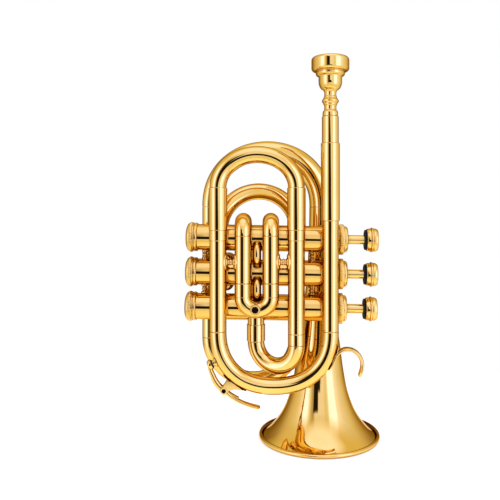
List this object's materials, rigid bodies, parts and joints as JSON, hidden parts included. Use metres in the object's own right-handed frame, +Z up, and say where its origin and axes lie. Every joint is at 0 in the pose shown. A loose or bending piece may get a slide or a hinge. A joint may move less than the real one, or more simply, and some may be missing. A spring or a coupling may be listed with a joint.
{
  "type": "pocket trumpet",
  "caption": "Compact lacquered-brass trumpet with coiled tubing, piston valves, sliding crooks, a water key and a flared bell that it stands on.",
  "frame": {"origin": "middle of the foot of the part's box, level with the bell's rim that it stands on", "axes": "+Z up along the bell and the mouthpiece, +X from the valves' bottom caps to their buttons, +Y from the leadpipe's side to the bell's side"},
  "size_m": [0.1528, 0.1096, 0.2953],
  "materials": {
    "lacquered_brass": "bright clear-lacquered brass, mirror polish",
    "knurled_brass": "lacquered brass with fine knurling",
    "bell_brass": "bright lacquered brass, spun and buffed",
    "piston_metal": "honed nickel-plated valve metal",
    "spring_steel": "drawn spring steel wire",
    "black_felt": "dense black felt washer",
    "cork": "dark synthetic cork pad"
  },
  "bodies": {
    "root": {"valve_casing_1": "lacquered_brass", "bottom_cap_1": "knurled_brass", "top_cap_1": "knurled_brass", "valve_spring_1": "spring_steel", "valve_casing_2": "lacquered_brass", "bottom_cap_2": "knurled_brass", "top_cap_2": "knurled_brass", "valve_spring_2": "spring_steel", "valve_casing_3": "lacquered_brass", "bottom_cap_3": "knurled_brass", "top_cap_3": "knurled_brass", "valve_spring_3": "spring_steel", "mouthpiece_receiver": "lacquered_brass", "leadpipe_sleeve": "lacquered_brass", "leadpipe": "lacquered_brass", "bottom_bow": "lacquered_brass", "tuning_sleeve_left": "lacquered_brass", "tuning_sleeve_right": "lacquered_brass", "near_tube_left": "lacquered_brass", "near_tube_right": "lacquered_brass", "entry_bow": "lacquered_brass", "entry_sleeve": "lacquered_brass", "first_sleeve_left": "lacquered_brass", "first_sleeve_right": "lacquered_brass", "third_sleeve_left": "lacquered_brass", "third_sleeve_right": "lacquered_brass", "second_sleeve_upper": "lacquered_brass", "second_sleeve_lower": "lacquered_brass", "coil_arch": "lacquered_brass", "coil_down_tube": "lacquered_brass", "coil_low_bow": "lacquered_brass", "coil_up_tube": "lacquered_brass", "bell_bow": "lacquered_brass", "finger_hook": "lacquered_brass", "water_key_nipple": "lacquered_brass", "water_key_saddle": "lacquered_brass", "casing_link_1": "lacquered_brass", "casing_link_2": "lacquered_brass", "brace_left": "lacquered_brass", "brace_right": "lacquered_brass", "bell_brace_upper": "lacquered_brass", "bell_brace_lower": "lacquered_brass", "water_key_pin": "piston_metal", "bell": "bell_brass"},
    "valve_1": {"piston_1": "piston_metal", "button_felt_1": "black_felt", "finger_button_1": "lacquered_brass"},
    "valve_2": {"piston_2": "piston_metal", "button_felt_2": "black_felt", "finger_button_2": "lacquered_brass"},
    "valve_3": {"piston_3": "piston_metal", "button_felt_3": "black_felt", "finger_button_3": "lacquered_brass"},
    "main_slide": {"tuning_slide": "lacquered_brass"},
    "slide_1": {"first_slide": "lacquered_brass"},
    "slide_3": {"third_slide": "lacquered_brass"},
    "slide_2": {"second_slide": "lacquered_brass"},
    "water_key": {"water_key_lever": "lacquered_brass", "water_key_cork": "cork"},
    "mouthpiece_piece": {"mouthpiece": "lacquered_brass"}
  },
  "joints": [
    {"name": "valve_1_press", "type": "slide", "parent": "root", "child": "valve_1", "axis": [-0.9998, 0, 0.0175], "range_m": [0, 0.013], "stiffness_N_per_m": 60, "springref_m": -0.03, "deforming": ["valve_spring_1"]},
    {"name": "valve_2_press", "type": "slide", "parent": "root", "child": "valve_2", "axis": [-0.9998, 0, 0.0175], "range_m": [0, 0.013], "stiffness_N_per_m": 60, "springref_m": -0.03, "deforming": ["valve_spring_2"]},
    {"name": "valve_3_press", "type": "slide", "parent": "root", "child": "valve_3", "axis": [-0.9998, 0, 0.0175], "range_m": [0, 0.013], "stiffness_N_per_m": 60, "springref_m": -0.03, "deforming": ["valve_spring_3"]},
    {"name": "tuning_slide_pull", "type": "slide", "parent": "root", "child": "main_slide", "axis": [0, 0, 1], "range_m": [0, 0.02]},
    {"name": "first_slide_pull", "type": "slide", "parent": "root", "child": "slide_1", "axis": [0, 0, -1], "range_m": [0, 0.018]},
    {"name": "third_slide_pull", "type": "slide", "parent": "root", "child": "slide_3", "axis": [0, 0, 1], "range_m": [0, 0.014]},
    {"name": "second_slide_pull", "type": "slide", "parent": "root", "child": "slide_2", "axis": [0, 1, 0], "range_m": [0, 0.007]},
    {"name": "water_key_lift", "type": "hinge", "parent": "root", "child": "water_key", "pos_m": [-0.04524, -0.04092, 0.051], "axis": [0, -1, 0], "range_deg": [0, 18], "stiffness_Nm_per_rad": 0.05, "springref_deg": -28.65},
    {"name": "mouthpiece_lift", "type": "slide", "parent": "root", "child": "mouthpiece_piece", "axis": [0, 0, 1], "range_m": [0, 0.022]}
  ]
}
